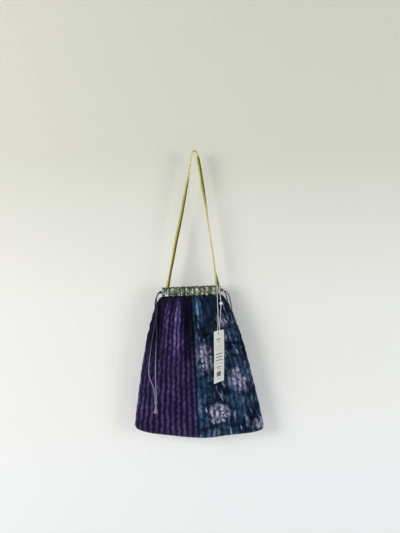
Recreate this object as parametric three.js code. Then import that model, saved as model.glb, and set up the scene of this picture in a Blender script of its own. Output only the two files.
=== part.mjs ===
// Quilted bag with a gathered, drawstring mouth, hanging on a flat strap.
// Millimetres, +Z up, front facing -Y. The origin is the underside of the strap's top bend,
// where a hook or a hand carries the bag.
import * as THREE from 'three';

// Strap
const strapHeight = 270;          // from the top bend's underside down to the top of the casings
const strapWidth = 7;
const strapThickness = 3;
const strapBendRadius = 4.6;    // centreline radius over the hook
const strapTuck = 14;           // length of each end hidden between the casings
const strapInsetLeft = 10;      // strap's left end, in from the mouth's left end
const strapInsetRight = 6;      // strap's right end, in from the mouth's right end

// Gathered mouth and its two casings
const mouthWidth = 116;
const mouthOffset = -6;         // middle of the mouth, sideways from the strap's top
const mouthRise = 5;            // the right end of the mouth hangs higher by this much
const mouthGap = 10;            // clear opening between the casings at the middle
const mouthEndGap = 4;          // the same at the two ends
const casingHeight = 17;
const casingThickness = 7;
const tunnelHeight = 7;
const tunnelDepth = 4.6;
const ruffleDepth = 2;
const rufflesPerCasing = 11;

// Quilted body
const bodyHeight = 267;         // at the bottom corners
const bottomSag = 16;           // how much lower the middle of the bottom hangs
const bottomWidth = 260;
const bottomOffset = 10.5;      // middle of the bottom, sideways from the strap's top
const mouthDepth = 24;          // outside depth of the body at the mouth, between the folds
const bellyDepth = 42;
const hemDepth = 6;
const wall = 4.5;
const channelsPerPanel = 24;
const ridgeHeight = 1.3;
const foldDepth = 8;
const foldPeak = 0.08;          // share of the height at which the folds stand out most
const foldWidth = 0.09;         // half width of one fold, as a share of the half width there

// Cords, thread and hang tag
const cordDiameter = 2.2;
const threadDiameter = 1.2;
const knotDiameter = 6.4;
const knotHeight = 7;
const tipLength = 17;
const tipDiameter = 8;
const neckShare = 0.7;          // radius of a tip's neck, as a share of the cord's diameter
const neckLengthShare = 0.12;   // length of the neck, as a share of the tip
const tagWidth = 33;
const tagHeight = 99;
const tagThickness = 0.6;
const tagTurn = THREE.MathUtils.degToRad(54);
const tagHang = 83;             // the card's top edge below the top of the casings
const tagPlace = 46.5;          // middle of the card, sideways from the strap's top
const tagHoleDiameter = 4.5;
const tagHoleInset = 6;         // hole centre below the card's top edge
const beadDiameter = 6.5;

// Fits: pieces that touch keep this gap
const clearance = 0.3;

// Mesh resolution
const bodyRows = 26;
const casingSteps = 40;
const casingSides = 10;
const tunnelSteps = 8;
const strapSteps = 26;
const drawstringSteps = 92;
const tagLoopSteps = 20;
const tagStringSteps = 48;
const cordSides = 8;
const cordEndSides = 12;
const beadSides = 14;
const beadArcSteps = 6;

// Derived heights
const casingTop = -strapHeight;
const casingBottom = casingTop - casingHeight;
const bodyTop = casingBottom - clearance;

// Places of the folds below the casings, from -1 at the left side to 1 at the right side,
// each with its height as a share of foldDepth
const frontFolds = [[-0.93, 0.6], [-0.62, 0.9], [-0.27, 1], [0.14, 1], [0.52, 0.5], [0.84, 0.9]];
const backFolds = [[-0.84, 0.8], [-0.45, 1], [-0.08, 0.8], [0.3, 1], [0.63, 0.7], [0.92, 0.6]];

// Collects points and triangles, and gives them back as one closed geometry facing outward
class SolidBuilder {
  constructor() {
    this.points = [];
    this.triangles = [];
  }

  addPoint(x, y, z) {
    this.points.push(new THREE.Vector3(x, y, z));
    return this.points.length - 1;
  }

  addTriangle(a, b, c) {
    if (a !== b && b !== c && c !== a) {
      this.triangles.push([a, b, c]);
    }
  }

  addQuad(a, b, c, d) {
    this.addTriangle(a, b, c);
    this.addTriangle(a, c, d);
  }

  // Joins a finer row of points to a coarser one that runs beside it
  zip(fine, coarse) {
    const ratio = (fine.length - 1) / (coarse.length - 1);
    const half = Math.floor(ratio / 2);
    for (let j = 0; j < coarse.length - 1; j += 1) {
      for (let i = 0; i < ratio; i += 1) {
        const at = j * ratio + i;
        const apex = i < half ? coarse[j] : coarse[j + 1];
        this.addTriangle(fine[at + 1], fine[at], apex);
      }
      this.addTriangle(fine[j * ratio + half], coarse[j], coarse[j + 1]);
    }
  }

  signedVolume() {
    let sum = 0;
    for (const [a, b, c] of this.triangles) {
      const cross = new THREE.Vector3().crossVectors(this.points[b], this.points[c]);
      sum += this.points[a].dot(cross) / 6;
    }
    return sum;
  }

  toGeometry() {
    const inward = this.signedVolume() < 0;
    const index = this.triangles.flatMap(([a, b, c]) => (inward ? [a, c, b] : [a, b, c]));
    const geometry = new THREE.BufferGeometry();
    geometry.setFromPoints(this.points);
    geometry.setIndex(index);
    geometry.computeVertexNormals();
    return geometry;
  }
}

function mesh(name, geometry, color, roughness) {
  const material = new THREE.MeshStandardMaterial({ color, roughness, metalness: 0 });
  const piece = new THREE.Mesh(geometry, material);
  piece.name = name;
  return piece;
}

// How far the mouth line stands above or below its middle, at a place sideways from the strap's top
function mouthLift(x) {
  return (mouthRise * (x - mouthOffset)) / mouthWidth;
}

// Quilted body

// The body's cross-section a share `down` of the way from the mouth to the bottom
function bodySection(down) {
  const flareCurve = 0.6;
  const bellyAt = 0.62;
  const halfMouth = mouthWidth / 2;
  const halfWidth = halfMouth + (bottomWidth / 2 - halfMouth) * down ** flareCurve;
  const centre = mouthOffset + (bottomOffset - mouthOffset) * down;
  let halfDepth;
  if (down < bellyAt) {
    const ease = THREE.MathUtils.smoothstep(down, 0, bellyAt);
    halfDepth = (mouthDepth + (bellyDepth - mouthDepth) * ease) / 2;
  } else {
    const past = (down - bellyAt) / (1 - bellyAt);
    halfDepth = (hemDepth + (bellyDepth - hemDepth) * Math.sqrt(1 - past * past)) / 2;
  }
  return { centre, halfWidth, halfDepth, power: 3 - down };
}

// Height of the gathered folds, which stand out just below the casings and die away downward
function foldHeight(across, down, front) {
  const reach = (down + foldPeak / 4) / foldPeak;
  const strength = reach * Math.exp(1 - reach);
  let height = 0;
  for (const [place, share] of front ? frontFolds : backFolds) {
    const away = (across - place) / foldWidth;
    height += share * Math.exp(-away * away);
  }
  return foldDepth * strength * height;
}

// A point of the body's wall. `loop` runs 0 at the front seam, 0.5 at the left side,
// 1 at the back seam, 1.5 at the right side and 2 at the front seam again.
function wallPoint(loop, down, inset) {
  const sideTuck = 0.06;
  const sideWallShare = 1.5;
  const section = bodySection(down);
  const halfWidth = section.halfWidth - sideWallShare * inset;
  const halfDepth = section.halfDepth - inset;
  const fromSeam = 1 - Math.abs(((2 * loop) % 2) - 1);
  const reach = Math.min(1, fromSeam * (1 + sideTuck) - sideTuck * fromSeam ** 8);
  const front = loop < 0.5 || loop > 1.5;
  const across = loop < 1 ? -reach : reach;
  const outAcross = Math.abs(across) ** (section.power - 1) / halfWidth;
  const outDepth = (1 - reach ** section.power) ** (1 / section.power);
  const x = section.centre + halfWidth * across;
  const y = (front ? -1 : 1) * halfDepth * outDepth;
  const normal = new THREE.Vector2(Math.sign(across) * outAcross,
    (front ? -1 : 1) * outDepth ** (section.power - 1) / halfDepth).normalize();
  const ridge = inset > 0 ? 0 : ridgeHeight * Math.abs(Math.sin(Math.PI * channelsPerPanel * loop));
  const swell = ridge + foldHeight(across, down, front) * outDepth;
  const fall = down * (bodyHeight + bottomSag * (1 - across * across));
  const swollenX = x + normal.x * swell;
  const z = bodyTop + mouthLift(swollenX) * (1 - down) - fall;
  return [swollenX, y + normal.y * swell, z];
}

// One quilted panel: it wraps its half of the bag from the front seam round one side to the
// back seam, is closed along the bottom and open at the mouth.
function quiltedPanel(loopStart, seamShift) {
  const rowEase = 1.35;
  const cavityReach = 0.955;
  const solid = new SolidBuilder();

  function grid(rows, columns, reach, inset) {
    const lines = [];
    for (let r = 0; r <= rows; r += 1) {
      const down = reach * (1 - (1 - r / rows) ** rowEase);
      const line = [];
      for (let c = 0; c <= columns; c += 1) {
        const [x, y, z] = wallPoint(loopStart + c / columns, down, inset);
        line.push(solid.addPoint(x + seamShift, y, z));
      }
      lines.push(line);
    }
    return lines;
  }

  const outer = grid(bodyRows, 2 * channelsPerPanel, 1, 0);
  const inner = grid(bodyRows / 2, channelsPerPanel, cavityReach, wall);

  for (let r = 0; r < outer.length - 1; r += 1) {
    for (let c = 0; c < outer[r].length - 1; c += 1) {
      solid.addQuad(outer[r][c], outer[r][c + 1], outer[r + 1][c + 1], outer[r + 1][c]);
    }
  }
  for (let r = 0; r < inner.length - 1; r += 1) {
    for (let c = 0; c < inner[r].length - 1; c += 1) {
      solid.addQuad(inner[r][c], inner[r + 1][c], inner[r + 1][c + 1], inner[r][c + 1]);
    }
  }

  // The bottom closes front to back, outside and inside
  const hem = outer[outer.length - 1];
  for (let c = 0; c < (hem.length - 1) / 2; c += 1) {
    const across = hem.length - 1 - c;
    solid.addQuad(hem[c], hem[c + 1], hem[across - 1], hem[across]);
  }
  const floor = inner[inner.length - 1];
  for (let c = 0; c < (floor.length - 1) / 2; c += 1) {
    const across = floor.length - 1 - c;
    solid.addQuad(floor[c + 1], floor[c], floor[across], floor[across - 1]);
  }

  // The rim at the mouth, and the edge that is sewn to the other panel
  solid.zip(outer[0], inner[0]);
  const frontEdge = outer.map((line) => line[0]).reverse();
  const frontEdgeInside = inner.map((line) => line[0]).reverse();
  const backEdge = outer.map((line) => line[line.length - 1]);
  const backEdgeInside = inner.map((line) => line[line.length - 1]);
  solid.zip(frontEdge, frontEdgeInside);
  solid.zip(backEdge, backEdgeInside);
  solid.zip([backEdge[backEdge.length - 1], frontEdge[0]],
    [backEdgeInside[backEdgeInside.length - 1], frontEdgeInside[0]]);
  return solid.toGeometry();
}

// Casings

// Half of the clear gap between the two casings
function halfGap(across) {
  return (mouthEndGap + (mouthGap - mouthEndGap) * (1 - across * across)) / 2;
}

// A ring of points with rounded corners, `depth` thick and `height` tall
function roundedRing(sides, depth, height) {
  const corner = 0.45;
  const ring = [];
  for (let j = 0; j < sides; j += 1) {
    const angle = (2 * Math.PI * (j + 0.5)) / sides;
    const a = Math.sign(Math.cos(angle)) * Math.abs(Math.cos(angle)) ** corner;
    const b = Math.sign(Math.sin(angle)) * Math.abs(Math.sin(angle)) ** corner;
    ring.push([(a * depth) / 2, (b * height) / 2]);
  }
  return ring;
}

// One casing: a ruffled sleeve along half of the mouth, with a smooth tunnel for the cords
function casing(side) {
  const solid = new SolidBuilder();
  const sleeve = roundedRing(casingSides, casingThickness, casingHeight);
  const tunnel = roundedRing(casingSides, tunnelDepth, tunnelHeight);
  const middle = (casingTop + casingBottom) / 2;

  function rings(steps, ring, ruffle) {
    const stations = [];
    for (let i = 0; i <= steps; i += 1) {
      const across = (2 * i) / steps - 1;
      const x = mouthOffset + (mouthWidth / 2) * across;
      const wave = (1 - Math.cos(2 * Math.PI * rufflesPerCasing * (i / steps))) / 2;
      stations.push(ring.map(([depth, height]) => {
        const out = depth > 0 ? ruffle * wave : 0;
        const y = side * (halfGap(across) + casingThickness / 2 + depth + out);
        return solid.addPoint(x, y, middle + mouthLift(x) + height);
      }));
    }
    return stations;
  }

  const outer = rings(casingSteps, sleeve, ruffleDepth);
  const inner = rings(tunnelSteps, tunnel, 0);
  for (let j = 0; j < casingSides; j += 1) {
    const k = (j + 1) % casingSides;
    for (let i = 0; i < casingSteps; i += 1) {
      solid.addQuad(outer[i][j], outer[i + 1][j], outer[i + 1][k], outer[i][k]);
    }
    for (let i = 0; i < tunnelSteps; i += 1) {
      solid.addQuad(inner[i][j], inner[i][k], inner[i + 1][k], inner[i + 1][j]);
    }
    const last = outer[casingSteps];
    const lastInner = inner[tunnelSteps];
    solid.addQuad(outer[0][j], outer[0][k], inner[0][k], inner[0][j]);
    solid.addQuad(last[k], last[j], lastInner[j], lastInner[k]);
  }
  return solid.toGeometry();
}

// Strap

// Each strand, from the top bend down: [share of the drop, share of the way out, twist in degrees].
// A twist of 0 shows the strap's edge to the front, and 90 its face.
const leftStrand = [
  [0.08, 0.13, 5], [0.18, 0.22, 18], [0.285, 0.32, 42], [0.44, 0.46, 55], [0.56, 0.58, 80],
  [0.665, 0.69, 105], [0.78, 0.79, 122], [0.88, 0.885, 140], [0.945, 0.945, 128], [1, 0.99, 90],
];
const rightStrand = [
  [0.07, 0.165, 80], [0.13, 0.235, 112], [0.235, 0.325, 92], [0.34, 0.425, 45], [0.45, 0.535, 20],
  [0.58, 0.64, 5], [0.74, 0.775, 0], [0.88, 0.885, 10], [0.945, 0.945, 45], [1, 0.99, 90],
];

function strapStations() {
  const seatGap = clearance + strapThickness / 2;
  const bendHeight = strapThickness / 2 - strapBendRadius;

  function strand(list, side, inset) {
    const across = side * (1 - (2 * inset) / mouthWidth);
    const endX = mouthOffset + (mouthWidth / 2) * across;
    const seatY = halfGap(across + (side * strapWidth) / mouthWidth) - seatGap;
    const top = casingTop + mouthLift(endX);
    const stations = list.map(([down, out, twist]) => {
      const y = seatY * THREE.MathUtils.smoothstep(down, 0.8, 1);
      return [endX * out, y, top * down, side * twist];
    });
    stations.push([endX, seatY, top - strapTuck, side * 90]);
    return stations;
  }

  const bend = [-1, -0.5, 0, 0.5, 1].map((turn) => {
    const angle = (turn * Math.PI) / 2;
    const x = strapBendRadius * Math.sin(angle);
    return [x, 0, bendHeight + strapBendRadius * Math.cos(angle), 0];
  });
  return [
    ...strand(leftStrand, -1, strapInsetLeft).reverse(),
    ...bend,
    ...strand(rightStrand, 1, strapInsetRight),
  ];
}

function strap() {
  const stations = strapStations();
  const path = new THREE.CatmullRomCurve3(stations.map(([x, y, z]) => new THREE.Vector3(x, y, z)),
    false, 'centripetal');
  const twists = new THREE.SplineCurve(stations.map(([, , , twist]) => new THREE.Vector2(twist, 0)));
  const solid = new SolidBuilder();
  const depthAxis = new THREE.Vector3(0, 1, 0);
  const sections = [];
  const steps = 2 * strapSteps;
  for (let i = 0; i <= steps; i += 1) {
    const share = i / steps;
    const centre = path.getPoint(share);
    const across = new THREE.Vector3().crossVectors(path.getTangent(share), depthAxis).normalize();
    const twist = THREE.MathUtils.degToRad(twists.getPoint(share).x);
    const wide = depthAxis.clone().multiplyScalar(Math.cos(twist)).addScaledVector(across, Math.sin(twist));
    const thin = new THREE.Vector3().crossVectors(path.getTangent(share), wide).normalize();
    const corners = [[1, 1], [-1, 1], [-1, -1], [1, -1]].map(([a, b]) => {
      const corner = centre.clone().addScaledVector(wide, (a * strapWidth) / 2)
        .addScaledVector(thin, (b * strapThickness) / 2);
      return solid.addPoint(corner.x, corner.y, corner.z);
    });
    sections.push(corners);
  }
  for (let i = 0; i < steps; i += 1) {
    for (let j = 0; j < 4; j += 1) {
      const k = (j + 1) % 4;
      solid.addQuad(sections[i][j], sections[i + 1][j], sections[i + 1][k], sections[i][k]);
    }
  }
  const [a, b, c, d] = sections[0];
  solid.addQuad(a, b, c, d);
  const [e, f, g, h] = sections[steps];
  solid.addQuad(h, g, f, e);
  return solid.toGeometry();
}

// Cords and threads. Each route is a list of chosen points along the real cord's lie.

const leftDrawstringRoute = [
  [-74.0, -20.1, -491.7], [-74.6, -19.4, -480], [-75.4, -19.0, -466], [-75.9, -19.0, -445],
  [-75.9, -18.8, -420], [-75.7, -17.6, -400], [-75.0, -15.7, -378], [-74.2, -15.2, -358],
  [-74.8, -14.8, -340], [-76.4, -14.0, -324], [-77.6, -12.0, -309], [-77.0, -10.8, -298],
  [-75.0, -9.2, -291], [-71.5, -7.8, -284.6], [-67.5, -6.5, -280.8], [-64, -5.5, -280.4],
  [-35, -7.75, -279.15], [-6, -8.5, -277.9], [23, -7.75, -276.65], [52, -5.5, -275.4],
  [55.0, -4.8, -275.3], [57.0, 0, -275.3], [55.0, 4.8, -275.3],
  [52, 5.5, -275.4], [23, 7.75, -276.65], [-6, 8.5, -277.9], [-35, 7.75, -279.15], [-64, 5.5, -280.4],
  [-68.5, 6.6, -280.5], [-72.9, 4.4, -284.2], [-75.0, -2.0, -291], [-75.4, -8.0, -298],
  [-73.6, -13.0, -307], [-73.4, -15.6, -318], [-75.4, -17.4, -331], [-78.8, -15.8, -348],
  [-82.5, -14.4, -370], [-86.0, -14.6, -395], [-88.5, -15.2, -418], [-89.6, -15.8, -440],
  [-85.4, -17.2, -455], [-80.0, -18.6, -467], [-77.6, -19.4, -480], [-76.6, -20.1, -491.7],
];

const rightDrawstringRoute = [
  [84.0, 20.7, -491.7], [84.1, 19.9, -475], [83.5, 19.4, -450], [82.5, 18.4, -420],
  [81.0, 16.8, -390], [79.0, 15.4, -365], [77.0, 14.8, -345], [75.4, 13.4, -330],
  [75.2, 10.0, -318], [73.6, 3.4, -307], [71.4, -1.6, -298], [69.0, -4.4, -289],
  [64.5, -5.8, -281], [58.5, -6.4, -278.4], [52, -5.5, -278],
  [23, -7.75, -279.25], [-6, -8.5, -280.5], [-35, -7.75, -281.75], [-64, -5.5, -283],
  [-67.0, -4.8, -283.1], [-69.0, 0, -283.1], [-67.0, 4.8, -283.1],
  [-64, 5.5, -283], [-35, 7.75, -281.75], [-6, 8.5, -280.5], [23, 7.75, -279.25], [52, 5.5, -278],
  [57.5, 6.8, -278.6], [61.5, 8.2, -282], [64.2, 9.0, -289], [66.4, 10.4, -298],
  [68.2, 12.6, -309], [69.4, 14.8, -322], [70.8, 15.8, -338], [73.0, 16.0, -356],
  [76.0, 16.8, -380], [78.8, 18.4, -408], [80.6, 20.0, -440], [81.2, 20.4, -470], [81.4, 20.7, -491.7],
];

const tagLoopRoute = [
  [44.1, -12.6, -268.0], [43.6, -11.4, -266.6], [42.9, -8.5, -265.6], [41.9, -4.5, -264.5],
  [40.3, -1, -263.6], [40.2, 2, -263.0], [42.0, 3.7, -262.8], [46.2, 3.8, -262.7],
  [49.4, 3.7, -262.8], [51.0, 2, -263.0], [51.1, -1, -263.6], [50.6, -4.5, -264.5],
  [50.0, -8.5, -265.6], [49.5, -11.4, -266.6], [49.2, -12.6, -268.0],
];

const tagStringRoute = [
  [44.2, -13.3, -268.7], [44.6, -15.6, -281], [45.2, -20.5, -300], [45.8, -26.0, -318],
  [46.0, -31.0, -338], [44.9, -33.2, -354.5], [45.3, -33.6, -357.8], [46.5, -34.4, -359.3],
  [47.8, -35.3, -357.8], [48.3, -35.6, -354.5], [49.0, -32.6, -341], [50.6, -27.6, -324],
  [51.6, -23.5, -309], [51.9, -21.6, -302], [51.5, -19.2, -294], [50.2, -15.8, -281],
  [49.2, -13.3, -268.7],
];
const tagBeadAt = 13;           // the route's point that the bead sits on

function toVectors(route) {
  return route.map(([x, y, z]) => new THREE.Vector3(x, y, z));
}

function cord(route, diameter, steps) {
  const ring = [];
  for (let i = 0; i < cordSides; i += 1) {
    const angle = (2 * Math.PI * i) / cordSides;
    ring.push(new THREE.Vector2(Math.cos(angle), Math.sin(angle)).multiplyScalar(diameter / 2));
  }
  const extrudePath = new THREE.CatmullRomCurve3(toVectors(route), false, 'centripetal');
  return new THREE.ExtrudeGeometry(new THREE.Shape(ring), { steps, bevelEnabled: false, extrudePath });
}

// Knots and flared tips, under the two ends of a drawstring

function turned(profile, segments) {
  const geometry = new THREE.LatheGeometry(profile.map(([r, z]) => new THREE.Vector2(r, z)), segments);
  geometry.rotateX(Math.PI / 2);
  return geometry;
}

// Profiles as [share of the radius, share of the height], turned about the vertical axis
const knotProfile = [[0, -1], [0.6, -0.92], [1, -0.5], [0.9, 0], [1, 0.5], [0.6, 0.92], [0, 1]];
const tipProfile = [[0, -1], [0.85, -1], [1, -0.9], [0.72, -0.45]];

function knot() {
  const profile = knotProfile.map(([out, up]) => [(out * knotDiameter) / 2, (up * knotHeight) / 2]);
  return turned(profile, cordEndSides);
}

function flaredTip() {
  const neck = cordDiameter * neckShare;
  const skirt = tipProfile.map(([out, up]) => [(out * tipDiameter) / 2, up * tipLength]);
  return turned([...skirt, [neck, -tipLength * neckLengthShare], [neck, 0], [0, 0]], cordEndSides);
}

function addCordEnd(group, side, route, color) {
  const [first, last] = [route[0], route[route.length - 1]];
  const x = (first[0] + last[0]) / 2;
  const knotPiece = mesh(`${side}_knot`, knot(), color, 0.6);
  knotPiece.position.set(x, first[1], first[2] - clearance - knotHeight / 2);
  const tip = mesh(`${side}_cord_tip`, flaredTip(), color, 0.7);
  tip.position.set(x, first[1], knotPiece.position.z - knotHeight / 2 - clearance);
  group.add(knotPiece, tip);
}

// Hang tag

// The most forward place of the body's front behind the card's rear edge
function tagSeatDepth(x, top, bottom) {
  let depth = 0;
  for (let down = 0; down <= 1; down += 0.02) {
    const section = bodySection(down);
    const across = (x - section.centre) / section.halfWidth;
    const z = bodyTop - down * (bodyHeight + bottomSag * (1 - across * across));
    if (z < top && z > bottom) {
      const share = (1 - Math.abs(across) ** section.power) ** (1 / section.power);
      depth = Math.max(depth, section.halfDepth * share);
    }
  }
  return depth + ridgeHeight;
}

function tagCard() {
  const outline = new THREE.Shape([
    new THREE.Vector2(-tagWidth / 2, -tagHeight),
    new THREE.Vector2(tagWidth / 2, -tagHeight),
    new THREE.Vector2(tagWidth / 2, 0),
    new THREE.Vector2(-tagWidth / 2, 0),
  ]);
  outline.holes.push(new THREE.Path().absarc(0, -tagHoleInset, tagHoleDiameter / 2, 0, 2 * Math.PI, true));
  const geometry = new THREE.ExtrudeGeometry(outline, {
    depth: tagThickness, bevelEnabled: false, curveSegments: 6,
  });
  geometry.translate(0, 0, -tagThickness / 2);
  geometry.rotateX(Math.PI / 2);
  const top = casingTop - tagHang;
  const rearEdge = tagPlace + (tagWidth / 2) * Math.cos(tagTurn);
  const seat = tagSeatDepth(rearEdge, top, top - tagHeight) + clearance;
  const card = mesh('tag_card', geometry, 0xdcdccc, 0.8);
  card.position.set(tagPlace, -seat - (tagWidth / 2) * Math.sin(tagTurn), top);
  card.rotation.z = tagTurn;
  return card;
}

function tagBead() {
  const bore = threadDiameter / 2 + clearance;
  const r = beadDiameter / 2;
  const openAngle = Math.asin(bore / r);
  const profile = [];
  for (let i = 0; i <= beadArcSteps; i += 1) {
    const angle = openAngle + ((Math.PI - 2 * openAngle) * i) / beadArcSteps;
    profile.push(new THREE.Vector2(r * Math.sin(angle), -r * Math.cos(angle)));
  }
  profile.push(profile[0].clone());
  const bead = mesh('tag_bead', new THREE.LatheGeometry(profile, beadSides), 0xf4f4f0, 0.3);
  const [before, at, after] = toVectors(tagStringRoute.slice(tagBeadAt - 1, tagBeadAt + 2));
  bead.position.copy(at);
  bead.quaternion.setFromUnitVectors(new THREE.Vector3(0, 1, 0), after.sub(before).normalize());
  return bead;
}

const bag = new THREE.Group();
bag.add(mesh('purple_panel', quiltedPanel(0, -clearance / 2), 0x2f2352, 0.45));
bag.add(mesh('print_panel', quiltedPanel(1, clearance / 2), 0x22466a, 0.6));
bag.add(mesh('front_casing', casing(-1), 0x66705a, 0.7));
bag.add(mesh('back_casing', casing(1), 0x5c6652, 0.7));
bag.add(mesh('strap', strap(), 0xa9a850, 0.35));
bag.add(mesh('drawstring_left', cord(leftDrawstringRoute, cordDiameter, drawstringSteps), 0x4c4766, 0.6));
bag.add(mesh('drawstring_right', cord(rightDrawstringRoute, cordDiameter, drawstringSteps), 0x4c4766, 0.6));
addCordEnd(bag, 'left', leftDrawstringRoute, 0x6d6984);
addCordEnd(bag, 'right', rightDrawstringRoute, 0x6d6984);
bag.add(mesh('tag_loop', cord(tagLoopRoute, threadDiameter, tagLoopSteps), 0xf0f0ea, 0.8));
bag.add(mesh('tag_string', cord(tagStringRoute, threadDiameter, tagStringSteps), 0xf0f0ea, 0.8));
bag.add(tagCard());
bag.add(tagBead());

export default bag;
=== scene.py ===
"""Looks of a quilted bag with a gathered drawstring mouth, hanging on a flat strap.

Metres, +Z up, front facing -Y.
"""
import math

import bpy
import numpy as np
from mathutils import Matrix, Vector, noise


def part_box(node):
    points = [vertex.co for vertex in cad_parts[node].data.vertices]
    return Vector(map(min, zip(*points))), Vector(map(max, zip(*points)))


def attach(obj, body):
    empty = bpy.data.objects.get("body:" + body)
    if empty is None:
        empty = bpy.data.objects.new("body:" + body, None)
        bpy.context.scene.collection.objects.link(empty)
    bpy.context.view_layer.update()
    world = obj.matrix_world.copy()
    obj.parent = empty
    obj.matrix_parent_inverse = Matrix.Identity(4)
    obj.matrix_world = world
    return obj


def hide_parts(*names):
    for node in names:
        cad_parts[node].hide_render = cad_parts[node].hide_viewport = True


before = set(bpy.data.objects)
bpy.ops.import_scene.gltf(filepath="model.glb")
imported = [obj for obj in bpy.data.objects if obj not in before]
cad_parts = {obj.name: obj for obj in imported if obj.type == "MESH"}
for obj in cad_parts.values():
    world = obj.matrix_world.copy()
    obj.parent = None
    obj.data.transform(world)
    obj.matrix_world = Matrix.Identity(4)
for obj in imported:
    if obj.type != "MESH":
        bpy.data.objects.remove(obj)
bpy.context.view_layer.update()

MM = 0.001

# Camera
SENSOR_WIDTH = 36
IMAGE_HEIGHT_PX = 533
FOCAL_LENGTH_PX = 433
CAMERA_PLACE = Vector((0.011, -0.866, -0.230))

# Backdrop and floor
WALL_Y = 0.028
FLOOR_Z = -0.95
BACKDROP_REACH = 3.0

# Lights: name, place, size, watts, colour. All face the middle of the bag.
LIGHTS_AIM = Vector((0, 0, -0.35))
LIGHTS = [
    ("key", (-2.1, -1.5, 0.25), 1.4, 50, (1.0, 0.985, 0.96)),
    ("fill", (1.95, -1.25, -0.1), 1.0, 19, (0.97, 0.985, 1.0)),
    ("back", (0.9, 1.7, 0.3), 1.0, 34, (1.0, 0.99, 0.97)),
]

# Body: the same measures as the solids have
MOUTH_WIDTH = 116 * MM
MOUTH_OFFSET = -6 * MM
MOUTH_RISE = 5 * MM
MOUTH_DEPTH = 24 * MM
CASING_TOP = -270 * MM
CASING_BOTTOM = -287 * MM
BODY_TOP = CASING_BOTTOM - 0.3 * MM
BODY_HEIGHT = 267 * MM
BOTTOM_SAG = 16 * MM
BOTTOM_WIDTH = 260 * MM
BOTTOM_OFFSET = 10.5 * MM
BELLY_DEPTH = 42 * MM
BELLY_AT = 0.62
HEM_DEPTH = 6 * MM
WALL = 4.5 * MM
CHANNELS = 24
MOUTH_GAP = 10 * MM
MOUTH_END_GAP = 4 * MM
CASING_THICKNESS = 7 * MM

# Painted light at the lining's points: one even painted shade
LINING_PAINTED_LIGHT = 0.3

# Cords and thread
CORD_DIAMETER = 2.2 * MM
THREAD_DIAMETER = 1.2 * MM


def mouth_lift(x):
    """How far the mouth line stands above or below its middle."""
    return MOUTH_RISE * (x - MOUTH_OFFSET) / MOUTH_WIDTH


def smoothstep(value, low, high):
    share = np.clip((np.asarray(value, float) - low) / (high - low), 0, 1)
    return share * share * (3 - 2 * share)


# Materials

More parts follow.
